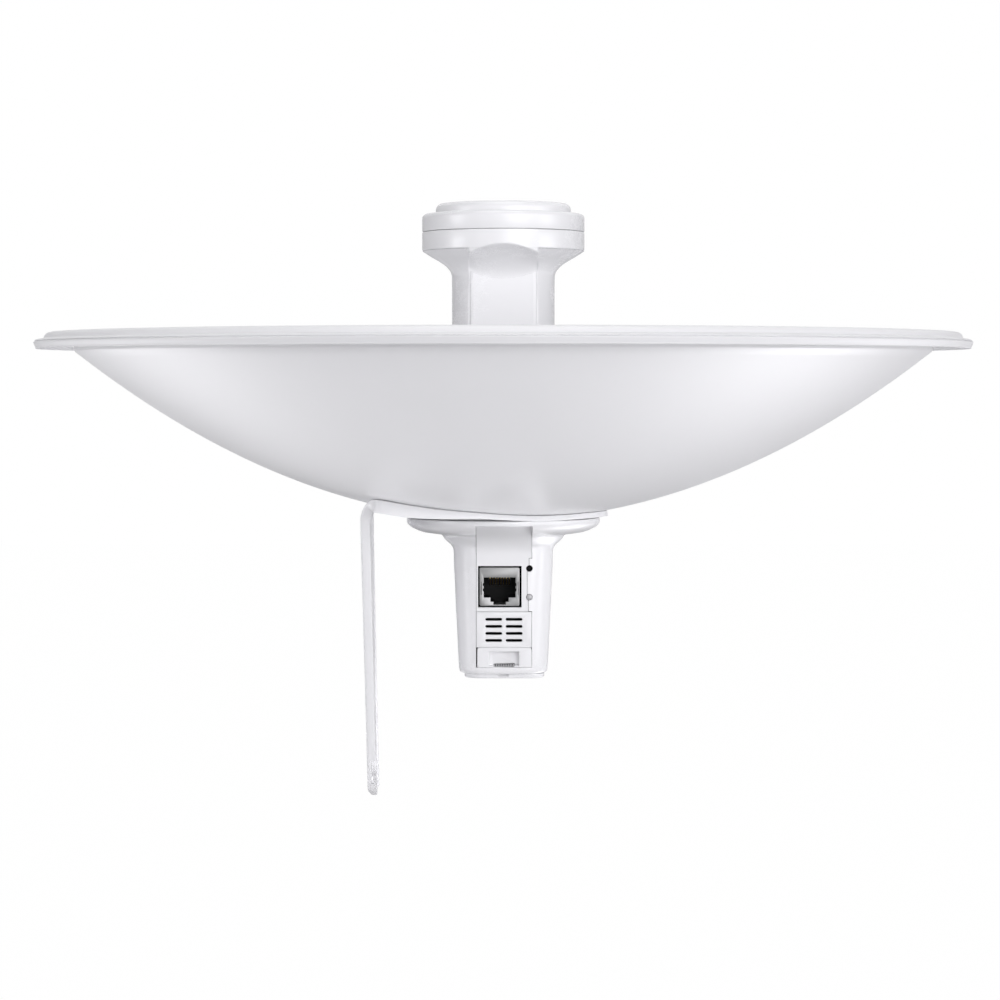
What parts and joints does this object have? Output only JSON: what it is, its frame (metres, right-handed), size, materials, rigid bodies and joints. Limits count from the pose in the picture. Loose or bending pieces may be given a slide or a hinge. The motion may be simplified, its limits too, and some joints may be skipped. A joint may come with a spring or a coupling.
{
  "type": "parabolic dish antenna",
  "caption": "Parabolic dish with a central drum feed on a neck, a rear radio housing with a network socket, and a bent bracket whose flat arm bolts to a pole clamp.",
  "frame": {"origin": "middle of the flat outer face of the bracket's arm, where the pole clamp bears", "axes": "+Z along the beam, out of the reflector's mouth; +X from the bracket arm towards the dish's axis; -Y is the side the network socket faces"},
  "size_m": [0.351, 0.351, 0.2259],
  "materials": {
    "white_paint": "smooth satin powder coat",
    "white_plastic": "satin, faint moulded grain",
    "shield_metal": "bright nickel plate, slightly dulled",
    "black_plastic": "matt black",
    "contact_gold": "gold-plated spring wire",
    "screw_steel": "zinc-plated",
    "lens_grey": "translucent grey, polished"
  },
  "bodies": {
    "root": {"contact_1": "contact_gold", "contact_2": "contact_gold", "contact_3": "contact_gold", "contact_4": "contact_gold", "contact_5": "contact_gold", "contact_6": "contact_gold", "contact_7": "contact_gold", "contact_8": "contact_gold", "dish_reflector": "white_paint", "feed_drum_lower": "white_plastic", "feed_drum_upper": "white_plastic", "feed_neck_cover": "white_plastic", "feed_neck_shell": "white_plastic", "feed_top_disc": "white_plastic", "housing_shell": "white_plastic", "hub_collar": "white_plastic", "hub_screw_1": "screw_steel", "hub_screw_2": "screw_steel", "hub_screw_3": "screw_steel", "hub_screw_4": "screw_steel", "jack_insert": "black_plastic", "jack_shield": "shield_metal", "latch_button": "white_plastic", "mounting_bracket": "white_paint", "port_panel": "white_plastic", "reset_button": "black_plastic", "status_lens": "lens_grey", "tail_cap": "white_plastic", "vent_panel": "white_plastic"}
  },
  "joints": []
}
